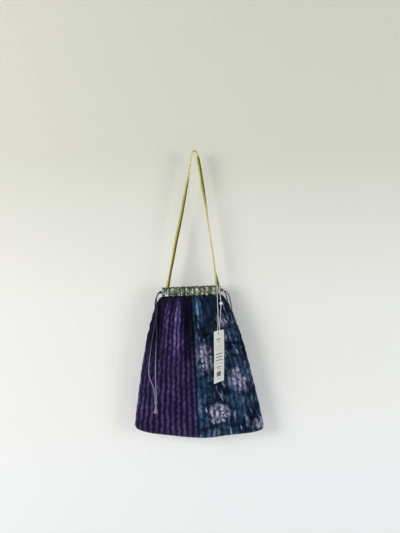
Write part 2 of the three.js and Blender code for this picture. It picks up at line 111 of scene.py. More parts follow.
class Nodes:
    """The shader nodes of one material or world, with short ways to add the kinds used here."""

    def __init__(self, owner):
        owner.use_nodes = True
        self.owner = owner
        self.tree = owner.node_tree
        self.tree.nodes.clear()

    def add(self, kind, inputs=None, **settings):
        """Adds a shader node. An input may be a value or another node's output socket."""
        item = self.tree.nodes.new("ShaderNode" + kind)
        for key, value in settings.items():
            setattr(item, key, value)
        for key, value in (inputs or {}).items():
            if isinstance(value, bpy.types.NodeSocket):
                self.tree.links.new(value, item.inputs[key])
            else:
                item.inputs[key].default_value = value
        return item

    def math(self, operation, a, b=0.0, c=0.0, clamp=False):
        return self.add("Math", {0: a, 1: b, 2: c}, operation=operation, use_clamp=clamp).outputs[0]

    def times(self, a, b, clamp=False):
        return self.math("MULTIPLY", a, b, clamp=clamp)

    def line(self, value, slope, start, clamp=False):
        """`slope` times the value, from `start`."""
        return self.math("MULTIPLY_ADD", value, slope, start, clamp=clamp)

    def vector(self, operation, a, b=(0, 0, 0), c=(0, 0, 0), output="Vector"):
        return self.add("VectorMath", {0: a, 1: b, 2: c}, operation=operation).outputs[output]

    def ramp(self, factor, stops, interpolation="LINEAR"):
        item = self.add("ValToRGB", {"Fac": factor})
        item.color_ramp.interpolation = interpolation
        elements = item.color_ramp.elements
        while len(elements) < len(stops):
            elements.new(1.0)
        for element, (place, color) in zip(elements, stops):
            element.position = place
            element.color = (*color, 1.0)
        return item.outputs["Color"]

    def mask(self, factor, low, high):
        """Black up to `low` and white from `high`."""
        return self.ramp(factor, [(low, (0, 0, 0)), (high, (1, 1, 1))])

    def mix(self, factor, a, b, share=1.0):
        """Mixes two colours. `share` lessens the factor."""
        if share != 1.0:
            factor = self.times(factor, share)
        item = self.add("Mix", {"Factor": factor}, data_type="RGBA", blend_type="MIX")
        for socket, value in ((item.inputs[6], a), (item.inputs[7], b)):
            if isinstance(value, bpy.types.NodeSocket):
                self.tree.links.new(value, socket)
            else:
                socket.default_value = (*value, 1.0)
        return item.outputs[2]

    def noise(self, vector, scale, detail=3.0, roughness=0.5, output="Fac"):
        return self.add("TexNoise", {"Vector": vector, "Scale": scale, "Detail": detail,
                                     "Roughness": roughness}).outputs[output]

    def stretched(self, vector, scale, rotation=0.0):
        return self.add("Mapping", {"Vector": vector, "Scale": scale,
                                    "Rotation": (0, 0, rotation)}).outputs[0]

    def bump(self, height, distance, strength=1.0):
        return self.add("Bump", {"Height": height, "Distance": distance, "Strength": strength}).outputs[0]

    def cloth_place(self):
        return self.add("UVMap", uv_map="cloth").outputs[0]

    def object_place(self):
        return self.add("TexCoord").outputs["Object"]

    def part(self, vector, axis):
        return self.add("SeparateXYZ", {0: vector}).outputs[axis]

    def cells(self, vector, scale, randomness):
        return self.add("TexVoronoi", {"Vector": vector, "Scale": scale, "Randomness": randomness},
                        voronoi_dimensions="2D", feature="F1").outputs

    def first_channel(self, color):
        return self.add("SeparateColor", {0: color}).outputs[0]

    def highest(self, masks):
        shown = masks[0]
        for mask in masks[1:]:
            shown = self.math("MAXIMUM", shown, mask)
        return shown

    def near(self, vector, across, down, radius, slope):
        """A mask round one place on the cloth, which ends at `radius`."""
        away = self.vector("DISTANCE", vector, (across, down, 0), output="Value")
        return self.line(away, -slope / radius, slope, clamp=True)

    def weave(self, uv, pitch):
        """Over-and-under weave of threads, one every `pitch` metres both ways."""
        turns = 2 * math.pi / pitch
        along, across = (self.math("SINE", self.times(self.part(uv, axis), turns))
                         for axis in (0, 1))
        return self.times(along, across)

    def relief(self, low, high, power=1.4):
        """Painted shade and highlight: a colour factor from `low` in the valleys, painted shade, to `high` on
        the crests, painted highlight.
        """
        relief = self.add("Attribute", attribute_name="relief").outputs["Fac"]
        return self.line(self.math("POWER", relief, power), high - low, low)

    def shaded(self, color, factor):
        return self.add("VectorMath", {0: color, 3: factor}, operation="SCALE").outputs[0]

    def choose(self, factor, a, b):
        """One shader or the other, by a factor from 0 to 1."""
        return self.add("MixShader", {0: factor, 1: a.outputs[0], 2: b.outputs[0]})

    def end(self, shader):
        kind = "World" if isinstance(self.owner, bpy.types.World) else "Material"
        self.add("Output" + kind, {0: shader.outputs[0]})
        return self.owner

    def finish(self, color, roughness, normal, **values):
        """Ends a material in one main shader. `values` are numbers and colours for its own sockets."""
        shader = self.add("BsdfPrincipled", {"Base Color": color, "Roughness": roughness, "Normal": normal})
        for key, value in values.items():
            shader.inputs[key.replace("_", " ")].default_value = value
        return self.end(shader)


def new_material(name):
    return Nodes(bpy.data.materials.new(name))


def purple_material():
    nodes = new_material("purple_quilting")
    uv = nodes.cloth_place()
    cloudy = nodes.noise(uv, 28, 3)
    threads = nodes.noise(nodes.stretched(uv, (2600, 240, 1)), 1, 2)
    shade = nodes.ramp(cloudy, [(0.32, (0.013, 0.008, 0.046)), (0.50, (0.029, 0.019, 0.085)),
                                (0.68, (0.062, 0.049, 0.134))])
    color = nodes.mix(threads, shade, (0.100, 0.080, 0.19), 0.22)
    # Painted highlight: short pale glints along the threads, mixed into the colour.
    painted_glints = nodes.mask(nodes.noise(nodes.stretched(uv, (430, 95, 1)), 1, 3, 0.6), 0.55, 0.68)
    color = nodes.mix(painted_glints, color, (0.135, 0.118, 0.225), 0.55)
    # Painted shade and highlight: the colour is darkened in the valleys and brightened up to 4.4 times on the
    # crests.
    color = nodes.shaded(color, nodes.relief(0.03, 4.4, 1.6))
    rough = nodes.line(cloudy, 0.20, 0.30)
    height = nodes.line(threads, 0.5, nodes.weave(uv, 0.55 * MM))
    normal = nodes.bump(height, 0.06 * MM, 0.6)
    return nodes.finish(color, rough, normal, Specular_IOR_Level=0.12, Specular_Tint=(0.42, 0.34, 1.0, 1))


# Blossom clusters on the printed cloth: place across and down the cloth in metres, and radius
BLOSSOM_CLUSTERS = [
    (0.495, -0.122, 0.031), (0.424, -0.168, 0.032), (0.478, -0.232, 0.027), (0.440, -0.050, 0.018),
    (0.398, -0.262, 0.020), (0.330, -0.055, 0.030), (0.296, -0.195, 0.034), (0.362, -0.165, 0.026),
    (0.275, -0.100, 0.018), (0.350, -0.262, 0.022),
]


def blossoms(nodes, place, scale, petals, seed):
    """Masks of loosely painted flowers, one in each cell: petals, their pale tips, and dark hearts."""
    place = nodes.vector("ADD", place, (seed, seed, 0))
    cells = nodes.cells(place, scale, 0.7)
    centre = nodes.vector("SUBTRACT", place, cells["Position"])
    angle = nodes.math("ARCTAN2", nodes.part(centre, 0), nodes.part(centre, 1))
    angle = nodes.line(nodes.first_channel(cells["Color"]), 6.28, angle)
    lobes = nodes.math("ABSOLUTE", nodes.math("COSINE", nodes.times(angle, petals / 2)))
    reach = nodes.line(lobes, 0.40 / scale, 0.16 / scale)
    away = nodes.vector("LENGTH", centre, output="Value")
    inside = nodes.times(nodes.math("SUBTRACT", reach, away), scale * 9, clamp=True)
    outward = nodes.math("POWER", nodes.math("DIVIDE", away, reach), 1.5, clamp=True)
    heart = nodes.math("LESS_THAN", away, 0.085 / scale)
    return inside, outward, heart


def print_material():
    """A painterly floral cotton: mottled navy and teal, pale brushed streaks, and clusters of blossoms."""
    nodes = new_material("print_quilting")
    uv = nodes.cloth_place()
    wander = nodes.noise(uv, 75, 4, 0.6, output="Color")
    wander = nodes.vector("SUBTRACT", wander, (0.5, 0.5, 0.5))
    warped = nodes.vector("MULTIPLY_ADD", wander, (0.014, 0.014, 0.014), uv)

    mottle = nodes.noise(warped, 22, 4, 0.6)
    color = nodes.ramp(mottle, [(0.38, (0.001, 0.002, 0.012)), (0.46, (0.008, 0.020, 0.066)),
                                (0.52, (0.017, 0.062, 0.140)), (0.60, (0.042, 0.130, 0.225)),
                                (0.74, (0.110, 0.220, 0.350))])
    violet = nodes.mask(nodes.noise(warped, 22, 2), 0.52, 0.64)
    color = nodes.mix(violet, color, (0.030, 0.030, 0.120), 0.6)
    # Brushed streaks: stretch, turn, roughness, low and high of the mask, strength, colour
    for stretch, turn, rough, low, high, strength, tint in (
            ((95, 24, 1), 0.30, 0.6, 0.54, 0.62, 0.80, (0.16, 0.26, 0.46)),
            ((150, 42, 1), -0.75, 0.6, 0.62, 0.66, 0.95, (0.50, 0.60, 0.80)),
            ((44, 80, 1), -0.5, 0.5, 0.55, 0.62, 0.85, (0.002, 0.003, 0.014))):
        strokes = nodes.noise(nodes.stretched(warped, stretch, turn), 1, 3, rough)
        color = nodes.mix(nodes.mask(strokes, low, high), color, tint, strength)

    cluster = nodes.highest([nodes.near(warped, *place, 2.2) for place in BLOSSOM_CLUSTERS])
    inner = nodes.line(cluster, 2.0, -0.7, clamp=True)
    brushed = nodes.noise(nodes.stretched(warped, (420, 140, 1), 0.8), 1, 3)
    wash = nodes.times(cluster, nodes.line(brushed, 2.2, -0.75, clamp=True))
    color = nodes.mix(wash, color, (0.10, 0.11, 0.30), 0.6)
    paint = nodes.line(brushed, 0.9, 0.5, clamp=True)
    # Layers of blossoms: scale, petals, seed, where they grow, colour, colour of the tips
    for scale, petals, seed, spread, tint, tip in (
            (24, 5, 0.0, cluster, (0.13, 0.12, 0.33), (0.42, 0.39, 0.70)),
            (33, 7, 0.43, inner, (0.30, 0.31, 0.62), (0.90, 0.92, 1.0))):
        inside, outward, heart = blossoms(nodes, warped, scale, petals, seed)
        petal = nodes.mix(heart, nodes.mix(outward, tint, tip), (0.04, 0.03, 0.12))
        mask = nodes.times(nodes.times(inside, spread), paint)
        color = nodes.mix(mask, color, petal)

    threads = nodes.noise(nodes.stretched(uv, (2400, 2400, 1)), 1, 1)
    color = nodes.mix(threads, color, (0.02, 0.03, 0.05), 0.18)
    # Painted shade and highlight: darker in the valleys, brighter on the crests.
    color = nodes.shaded(color, nodes.relief(0.22, 1.7, 1.0))
    rough = nodes.line(mottle, 0.15, 0.50)
    height = nodes.line(threads, 0.5, nodes.weave(uv, 0.5 * MM))
    normal = nodes.bump(height, 0.07 * MM, 0.7)
    return nodes.finish(color, rough, normal, Specular_IOR_Level=0.10, Specular_Tint=(0.45, 0.70, 1.0, 1))


def casing_material():
    """Small scattered print of green, cream and near black, greener towards the right."""
    nodes = new_material("casing_print")
    uv = nodes.cloth_place()
    wander = nodes.noise(uv, 320, 3, 0.6, output="Color")
    warped = nodes.vector("MULTIPLY_ADD", wander, (0.006, 0.006, 0.006), uv)
    pick = nodes.first_channel(nodes.cells(warped, 360, 1.0)["Color"])
    color = nodes.ramp(pick, [(0.0, (0.006, 0.009, 0.008)), (0.32, (0.070, 0.086, 0.050)),
                              (0.46, (0.20, 0.22, 0.15)), (0.60, (0.72, 0.73, 0.64)),
                              (0.84, (0.010, 0.018, 0.014))], "CONSTANT")
    greener = nodes.times(nodes.part(uv, 0), 5.0, clamp=True)
    color = nodes.mix(greener, color, (0.17, 0.23, 0.07), 0.30)
    color = nodes.mix(nodes.noise(uv, 60, 2), color, (0.08, 0.09, 0.06), 0.15)
    # Painted shade and highlight: darker between the ruffles and along the top edge, brighter on the ruffles.
    color = nodes.shaded(color, nodes.relief(0.10, 1.6))
    normal = nodes.bump(nodes.weave(uv, 0.45 * MM), 0.06 * MM, 0.7)
    return nodes.finish(color, 0.62, normal, Sheen_Weight=0.1)


def plain_material(name, clouds, grain, dark, light, roughness, depth, strength, **values):
    """One even colour, a little cloudy, with a fine grain."""
    nodes = new_material(name)
    place = nodes.object_place()
    color = nodes.ramp(nodes.noise(place, clouds, 2), [(0.3, dark), (0.7, light)])
    normal = nodes.bump(nodes.noise(place, grain, 2), depth, strength)
    return nodes.finish(color, roughness, normal, **values)


def strap_material():
    nodes = new_material("strap")
    uv = nodes.cloth_place()
    grain = nodes.noise(nodes.stretched(uv, (900, 260, 1)), 1, 4, 0.6)
    cloudy = nodes.noise(uv, 45, 2)
    color = nodes.ramp(cloudy, [(0.25, (0.46, 0.45, 0.100)), (0.55, (0.58, 0.57, 0.160)),
                                (0.8, (0.70, 0.68, 0.24))])
    color = nodes.mix(grain, color, (0.34, 0.33, 0.06), 0.3)
    # Painted shade: across one side of the strap's width the colour turns dark olive, standing in for its
    # shaded side.
    wander = nodes.math("ADD", nodes.line(cloudy, 0.5, -0.25), 0.62)
    painted_side_shade = nodes.line(nodes.part(uv, 0), 480.0, wander, clamp=True)
    color = nodes.mix(painted_side_shade, color, (0.058, 0.056, 0.005), 0.93)
    rough = nodes.line(grain, 0.15, 0.50)
    return nodes.finish(color, rough, nodes.bump(grain, 0.12 * MM, 0.7), Specular_IOR_Level=0.16,
                        Specular_Tint=(1.0, 0.96, 0.45, 1))


def fibre_material(name, dark, light, roughness, sheen, painted_highlight_ends=None):
    """Twisted yarn with fine hairs. The last argument gives a cord's length and the colour of the painted
    highlight that its two ends turn to.
    """
    nodes = new_material(name)
    uv = nodes.cloth_place()
    hairs = nodes.noise(nodes.stretched(uv, (1400, 5200, 1), 0.6), 1, 3, 0.6)
    cloudy = nodes.noise(uv, 160, 2)
    lighter = nodes.line(hairs, 0.7, nodes.times(cloudy, 0.4), clamp=True)
    color = nodes.mix(lighter, dark, light)
    # Painted highlight: the cord turns paler over the last 12 cm at each end.
    if painted_highlight_ends:
        length, pale = painted_highlight_ends
        from_middle = nodes.math("ABSOLUTE", nodes.math("SUBTRACT", nodes.part(uv, 1), length / 2))
        fade = nodes.line(from_middle, 1 / 0.06, -(length / 2 - 0.12) / 0.06, clamp=True)
        color = nodes.mix(fade, color, pale, 0.8)
    return nodes.finish(color, roughness, nodes.bump(hairs, 0.1 * MM, 0.8), Sheen_Weight=sheen,
                        Sheen_Roughness=0.5, Specular_IOR_Level=0.2)


def card_material():
    """Uncoated cream card with plain printed rules and one small block."""
    nodes = new_material("card")
    uv = nodes.cloth_place()
    fibres = nodes.noise(uv, 900, 4, 0.7)
    color = nodes.ramp(fibres, [(0.3, (0.84, 0.84, 0.74)), (0.7, (0.91, 0.91, 0.83))])
    # Each mark: height down the card, half height, reach from the middle to each side, darkness
    marks = [(16.5, 1.0, 8, 0.9), (21.5, 0.8, 4, 0.85), (29, 0.4, 9, 0.5), (33, 0.4, 9, 0.5),
             (37, 0.4, 9, 0.5), (44.5, 0.9, 11, 0.9), (50.5, 0.9, 11.5, 0.9), (56.5, 0.9, 11.5, 0.9),
             (62.5, 0.5, 9, 0.6), (69.5, 0.8, 7, 0.85), (73, 0.6, 6, 0.7), (83, 4.6, 7, 0.9),
             (91.5, 0.5, 8, 0.6)]
    inks = []
    for down, half_height, half_width, darkness in marks:
        level = nodes.math("COMPARE", nodes.part(uv, 1), -down * MM, half_height * MM)
        inside = nodes.math("COMPARE", nodes.part(uv, 0), 0.0, half_width * MM)
        inks.append(nodes.times(nodes.times(level, inside), darkness))
    speckle = nodes.line(nodes.noise(uv, 1500, 1), 0.5, 0.7, clamp=True)
    ink = nodes.times(nodes.highest(inks), speckle)
    color = nodes.mix(ink, color, (0.06, 0.06, 0.065))
    return nodes.finish(color, 0.75, nodes.bump(fibres, 0.05 * MM, 0.5))


# Meshes

def placed(name, data, place=(0, 0, 0), turn=(0, 0, 0)):
    item = bpy.data.objects.new(name, data)
    item.location = place
    item.rotation_euler = turn
    bpy.context.scene.collection.objects.link(item)
    return item


def mesh_object(name, points, faces, materials, uvs=None, face_materials=None, relief=None):
    """One smooth-shaded mesh. `uvs` gives each point's place on the cloth, in metres, and the last argument
    its painted shade and highlight, from 0 in its stitched valley or fold to 1 where it stands out most."""
    mesh = bpy.data.meshes.new(name)
    mesh.from_pydata([tuple(p) for p in points], [], faces)
    for material in materials:
        mesh.materials.append(material)
    if uvs is not None:
        layer = mesh.uv_layers.new(name="cloth")
        corner = np.empty(len(mesh.loops), int)
        mesh.loops.foreach_get("vertex_index", corner)
        layer.data.foreach_set("uv", np.asarray(uvs, float)[corner].ravel())
    if face_materials is not None:
        mesh.polygons.foreach_set("material_index", face_materials)
    if relief is not None:
        mesh.attributes.new("relief", "FLOAT", "POINT").data.foreach_set("value", relief)
    mesh.polygons.foreach_set("use_smooth", [True] * len(mesh.polygons))
    mesh.update()
    return placed(name, mesh)


def shell_object(name, outer, inner, faces, shown, materials, uvs, relief):
    """A closed shell of two grids of points. Its first `shown` faces are the outside, the rest the lining."""
    hidden = inner.shape[0] * inner.shape[1]
    points = np.concatenate([outer.reshape(-1, 3), inner.reshape(-1, 3)])
    face_materials = [0] * shown + [1] * (len(faces) - shown)
    # The lining's points all get one even painted shade.
    relief = np.concatenate([relief.ravel(), np.full(hidden, LINING_PAINTED_LIGHT)])
    return mesh_object(name, points, faces, materials, uvs + [(0.0, 0.0)] * hidden, face_materials, relief)


def belongs(piece, body, node):
    """Ties a piece to its body and hides the solid that it stands for."""
    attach(piece, body)
    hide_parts(node)


def subdivide(piece, levels=1):
    modifier = piece.modifiers.new("fine", "SUBSURF")
    modifier.levels = levels
    modifier.render_levels = levels


def keep_sharp(piece, lines, corners):
    """Holds lines of points, and single corner points, in place under subdivision."""
    held = {tuple(sorted((int(a), int(b)))) for line in lines for a, b in zip(line, line[1:])}
    mesh = piece.data
    creases = [1.0 if tuple(sorted(edge.vertices)) in held else 0.0 for edge in mesh.edges]
    mesh.attributes.new("crease_edge", "FLOAT", "EDGE").data.foreach_set("value", creases)
    points = np.zeros(len(mesh.vertices))
    points[[int(corner) for corner in corners]] = 1.0
    mesh.attributes.new("crease_vert", "FLOAT", "POINT").data.foreach_set("value", points)


def grid_faces(first, rows, columns, flip=False, wrap=False):
    """Quads of a grid whose points start at index `first`, row by row."""
    across = columns if wrap else columns + 1
    faces = []
    for r in range(rows):
        for c in range(columns):
            a = first + r * across + c
            b = first + r * across + (c + 1) % across
            quad = (a, b, b + across, a + across)
            faces.append(quad[::-1] if flip else quad)
    return faces


def tube_faces(first, rows, sides, flip=False):
    """Faces of a closed tube of `rows` rings, whose points start at index `first`."""
    ends = [tuple(range(first, first + sides))[::-1],
            tuple(range(first + (rows - 1) * sides, first + rows * sides))]
    return grid_faces(first, rows - 1, sides, flip, wrap=True) + [end[::-1] if flip else end for end in ends]


def zip_faces(fine, coarse):
    """Joins a finer row of points to a coarser one that runs beside it."""
    ratio = (len(fine) - 1) // (len(coarse) - 1)
    half = ratio // 2
    faces = []
    for j in range(len(coarse) - 1):
        for i in range(ratio):
            at = j * ratio + i
            faces.append((fine[at + 1], fine[at], coarse[j] if i < half else coarse[j + 1]))
        faces.append((fine[j * ratio + half], coarse[j], coarse[j + 1]))
    return faces


def stacked(*parts):
    """Points or places on the cloth from their parts, each spread over the shape that they share."""
    return np.stack(np.broadcast_arrays(*parts), axis=-1)


def unit(vectors):
    return vectors / np.linalg.norm(vectors, axis=-1, keepdims=True)


def circle(sides):
    return np.linspace(0, 2 * math.pi, sides, endpoint=False)


def rounded_ring(sides, width, height, round_across, round_up):
    """A rectangle's outline with rounded corners: places across it and up it."""
    angles = 2 * math.pi * (np.arange(sides) + 0.5) / sides
    across, up = np.cos(angles), np.sin(angles)
    return (np.sign(across) * np.abs(across) ** round_across * width / 2,
            np.sign(up) * np.abs(up) ** round_up * height / 2)


def run(points):
    """How far along its line each point lies."""
    steps = np.linalg.norm(np.diff(np.asarray(points)[:, :3], axis=0), axis=1)
    return np.concatenate([[0], np.cumsum(steps)])


def read_along(places, along, values):
    """Rows of values that lie at `along`, read at other places."""
    return np.array([np.interp(places, along, column) for column in values.T]).T


def centripetal(points, count):
    """Points along the smooth curve that passes through all the given points, evenly spaced."""
    points = np.asarray(points, float)
    ends = [2 * points[0] - points[1], *points, 2 * points[-1] - points[-2]]
    fine = []
    for i in range(len(points) - 1):
        p0, p1, p2, p3 = ends[i:i + 4]
        gaps = [np.linalg.norm(b - a) ** 0.5 for a, b in ((p0, p1), (p1, p2), (p2, p3))]
        t0, t1, t2 = (p1 - p0) / gaps[0], (p2 - p1) / gaps[1], (p3 - p2) / gaps[2]
        m1 = (t0 - (p2 - p0) / (gaps[0] + gaps[1]) + t1) * gaps[1]
        m2 = (t1 - (p3 - p1) / (gaps[1] + gaps[2]) + t2) * gaps[1]
        for share in np.linspace(0, 1, 24, endpoint=False):
            s2, s3 = share ** 2, share ** 3
            fine.append((2 * s3 - 3 * s2 + 1) * p1 + (s3 - 2 * s2 + share) * m1
                        + (3 * s2 - 2 * s3) * p2 + (s3 - s2) * m2)
    fine = np.array(fine + [points[-1]])
    along = run(fine)
    return read_along(np.linspace(0, along[-1], count), along, fine)


def carried_frames(path):
    """Two crosswise unit vectors at each point of a path, carried along it without twisting."""
    tangents = unit(np.gradient(path, axis=0))
    side = np.cross(tangents[0], (0.3, 1.0, 0.2))
    sides = []
    for tangent in tangents:
        side = unit(side - tangent * np.dot(side, tangent))
        sides.append(side)
    sides = np.array(sides)
    return sides, np.cross(tangents, sides)


def rope(name, route, diameter, material, plies=3, pitch=5.0, sides=12, step=0.55):
    """A twisted cord along a route in metres: `plies` strands that go once round in `pitch` diameters."""
    length = float(run(centripetal(route, 8 * len(route)))[-1])
    count = int(length / (step * diameter)) + 1
    path = centripetal(route, count)
    side, other = carried_frames(path)
    along = np.linspace(0, length, count)
    angles = circle(sides)
    twist = 2 * math.pi * along / (pitch * diameter)
    lobes = np.abs(np.cos(plies / 2 * (angles - twist[:, None])))
    radius = diameter / 2 * (0.80 + 0.22 * lobes)
    points = (path[:, None] + (radius * np.cos(angles))[..., None] * side[:, None]
              + (radius * np.sin(angles))[..., None] * other[:, None])
    uvs = stacked(diameter * angles / 2, along[:, None])
    faces = tube_faces(0, count, sides, flip=True)
    piece = mesh_object(name, points.reshape(-1, 3), faces, [material], uvs.reshape(-1, 2))
    return piece, [tuple(p) for p in path[::2]] + [tuple(path[-1])], length


# Camera, light and surroundings

def camera_and_light():
    scene = bpy.context.scene
    camera = bpy.data.cameras.new("camera")
    camera.sensor_width = SENSOR_WIDTH
    camera.lens = SENSOR_WIDTH * FOCAL_LENGTH_PX / IMAGE_HEIGHT_PX
    scene.camera = placed("camera", camera, CAMERA_PLACE, (math.pi / 2, 0, 0))
    for name, place, size, watts, color in LIGHTS:
        lamp = bpy.data.lights.new(name, "AREA")
        lamp.shape = "DISK"
        lamp.size = size
        lamp.energy = watts
        lamp.color = color
        placed(name, lamp, place, (LIGHTS_AIM - Vector(place)).to_track_quat("-Z", "Y").to_euler())

    nodes = Nodes(bpy.data.worlds.new("world"))
    soft = nodes.add("Background", {"Color": (0.93, 0.95, 1.0, 1), "Strength": 0.2})
    pale = nodes.add("Background", {"Color": (0.80, 0.81, 0.81, 1), "Strength": 1.0})
    seen = nodes.add("LightPath").outputs["Is Camera Ray"]
    scene.world = nodes.end(nodes.choose(seen, soft, pale))
    scene.view_settings.view_transform = "Standard"


def backdrop():
    """A pale wall close behind the bag, seen from the front only, and a pale floor far below it."""
    nodes = new_material("wall")
    place = nodes.object_place()
    # Painted shade: the wall is coloured darker towards the top, where less light falls.
    share = nodes.line(nodes.part(place, 2), -1.5, 0.0, clamp=True)
    color = nodes.ramp(share, [(0.0, (0.56, 0.565, 0.50)), (0.45, (0.68, 0.685, 0.655)),
                               (1.0, (0.72, 0.725, 0.73))])
    grain = nodes.bump(nodes.noise(place, 400, 2), 0.1 * MM, 0.3)
    lit = nodes.add("BsdfDiffuse", {"Color": color, "Normal": grain})
    glow = nodes.add("Emission", {"Color": color, "Strength": 0.26})
    surface = nodes.add("AddShader", {0: lit.outputs[0], 1: glow.outputs[0]})
    behind = nodes.add("NewGeometry").outputs["Backfacing"]
    plaster = nodes.end(nodes.choose(behind, surface, nodes.add("BsdfTransparent")))
    near, far = -BACKDROP_REACH, BACKDROP_REACH
    wall = mesh_object("wall", [(near, WALL_Y, FLOOR_Z), (far, WALL_Y, FLOOR_Z), (far, WALL_Y, far),
                                (near, WALL_Y, far)], [(0, 1, 2, 3)], [plaster])
    for ray in ("visible_shadow", "visible_diffuse", "visible_glossy", "visible_transmission"):
        setattr(wall, ray, False)

    nodes = new_material("floor")
    grain = nodes.noise(nodes.object_place(), 300, 2)
    color = nodes.ramp(grain, [(0.3, (0.80, 0.80, 0.79)), (0.7, (0.84, 0.84, 0.83))])
    lit = nodes.add("BsdfPrincipled", {"Base Color": color, "Roughness": 0.8,
                                       "Normal": nodes.bump(grain, 0.1 * MM, 0.2)})
    even = nodes.add("Emission", {"Color": color, "Strength": 0.95})
    seen = nodes.times(nodes.add("LightPath").outputs["Is Camera Ray"], 0.75)
    pale = nodes.end(nodes.choose(seen, lit, even))
    floor = mesh_object("floor", [(near, near, FLOOR_Z), (far, near, FLOOR_Z), (far, far, FLOOR_Z),
                                  (near, far, FLOOR_Z)], [(0, 1, 2, 3)], [pale])


# Cords: points of their routes, in millimetres

LEFT_DRAWSTRING = [
    (-74.0, -20.1, -491.7), (-74.6, -19.4, -480), (-75.4, -19.0, -466), (-75.9, -19.0, -445),
    (-75.9, -18.8, -420), (-75.7, -17.6, -400), (-75.0, -15.7, -378), (-74.2, -15.2, -358),
    (-74.8, -14.8, -340), (-76.4, -14.0, -324), (-77.6, -12.0, -309), (-77.0, -10.8, -298),
    (-75.0, -9.2, -291), (-71.5, -7.8, -284.6), (-67.5, -6.5, -280.8), (-64, -5.5, -280.4),
    (-35, -7.75, -279.15), (-6, -8.5, -277.9), (23, -7.75, -276.65), (52, -5.5, -275.4),
    (55.0, -4.8, -275.3), (57.0, 0, -275.3), (55.0, 4.8, -275.3),
    (52, 5.5, -275.4), (23, 7.75, -276.65), (-6, 8.5, -277.9), (-35, 7.75, -279.15), (-64, 5.5, -280.4),
    (-68.5, 6.6, -280.5), (-72.9, 4.4, -284.2), (-75.0, -2.0, -291), (-75.4, -8.0, -298),
    (-73.6, -13.0, -307), (-73.4, -15.6, -318), (-75.4, -17.4, -331), (-78.8, -15.8, -348),
    (-82.5, -14.4, -370), (-86.0, -14.6, -395), (-88.5, -15.2, -418), (-89.6, -15.8, -440),
    (-85.4, -17.2, -455), (-80.0, -18.6, -467), (-77.6, -19.4, -480), (-76.6, -20.1, -491.7),
]

RIGHT_DRAWSTRING = [
    (84.0, 20.7, -491.7), (84.1, 19.9, -475), (83.5, 19.4, -450), (82.5, 18.4, -420),
    (81.0, 16.8, -390), (79.0, 15.4, -365), (77.0, 14.8, -345), (75.4, 13.4, -330),
    (75.2, 10.0, -318), (73.6, 3.4, -307), (71.4, -1.6, -298), (69.0, -4.4, -289),
    (64.5, -5.8, -281), (58.5, -6.4, -278.4), (52, -5.5, -278),
    (23, -7.75, -279.25), (-6, -8.5, -280.5), (-35, -7.75, -281.75), (-64, -5.5, -283),
    (-67.0, -4.8, -283.1), (-69.0, 0, -283.1), (-67.0, 4.8, -283.1),
    (-64, 5.5, -283), (-35, 7.75, -281.75), (-6, 8.5, -280.5), (23, 7.75, -279.25), (52, 5.5, -278),
    (57.5, 6.8, -278.6), (61.5, 8.2, -282), (64.2, 9.0, -289), (66.4, 10.4, -298),
    (68.2, 12.6, -309), (69.4, 14.8, -322), (70.8, 15.8, -338), (73.0, 16.0, -356),
    (76.0, 16.8, -380), (78.8, 18.4, -408), (80.6, 20.0, -440), (81.2, 20.4, -470), (81.4, 20.7, -491.7),
]

TAG_LOOP = [
    (44.1, -12.6, -268.0), (43.6, -11.4, -266.6), (42.9, -8.5, -265.6), (41.9, -4.5, -264.5),
    (40.3, -1, -263.6), (40.2, 2, -263.0), (42.0, 3.7, -262.8), (46.2, 3.8, -262.7),
    (49.4, 3.7, -262.8), (51.0, 2, -263.0), (51.1, -1, -263.6), (50.6, -4.5, -264.5),
    (50.0, -8.5, -265.6), (49.5, -11.4, -266.6), (49.2, -12.6, -268.0),
]

TAG_STRING = [
    (44.2, -13.3, -268.7), (44.6, -15.6, -281), (45.2, -20.5, -300), (45.8, -26.0, -318),
    (46.0, -31.0, -338), (44.9, -33.2, -354.5), (45.3, -33.6, -357.8), (46.5, -34.4, -359.3),
    (47.8, -35.3, -357.8), (48.3, -35.6, -354.5), (49.0, -32.6, -341), (50.6, -27.6, -324),
    (51.6, -23.5, -309), (51.9, -21.6, -302), (51.5, -19.2, -294), (50.2, -15.8, -281),
    (49.2, -13.3, -268.7),
]
TAG_BEAD_AT = 13


def metres(route):
    return [tuple(value * MM for value in point) for point in route]


def node_box(name):
    low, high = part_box(name)
    return np.array(low), np.array(high)


def knot(name, material):
    """A small tight knot: one three-lobed closed turn of the cord, filling its solid's place."""
    low, high = node_box(name)
    centre = (low + high) / 2
    turns = np.linspace(0, 2 * math.pi, 49)
    size = (high[0] - low[0] - CORD_DIAMETER) / 6
    lift = (high[2] - low[2] - CORD_DIAMETER) / 2
    route = stacked(centre[0] + size * (np.sin(turns) + 2 * np.sin(2 * turns)),
                    centre[1] + size * (np.cos(turns) - 2 * np.cos(2 * turns)),
                    centre[2] - lift * np.sin(3 * turns))
    return rope(name + "_tied", route, CORD_DIAMETER * 1.15, material, pitch=3.5, step=0.2)[0]


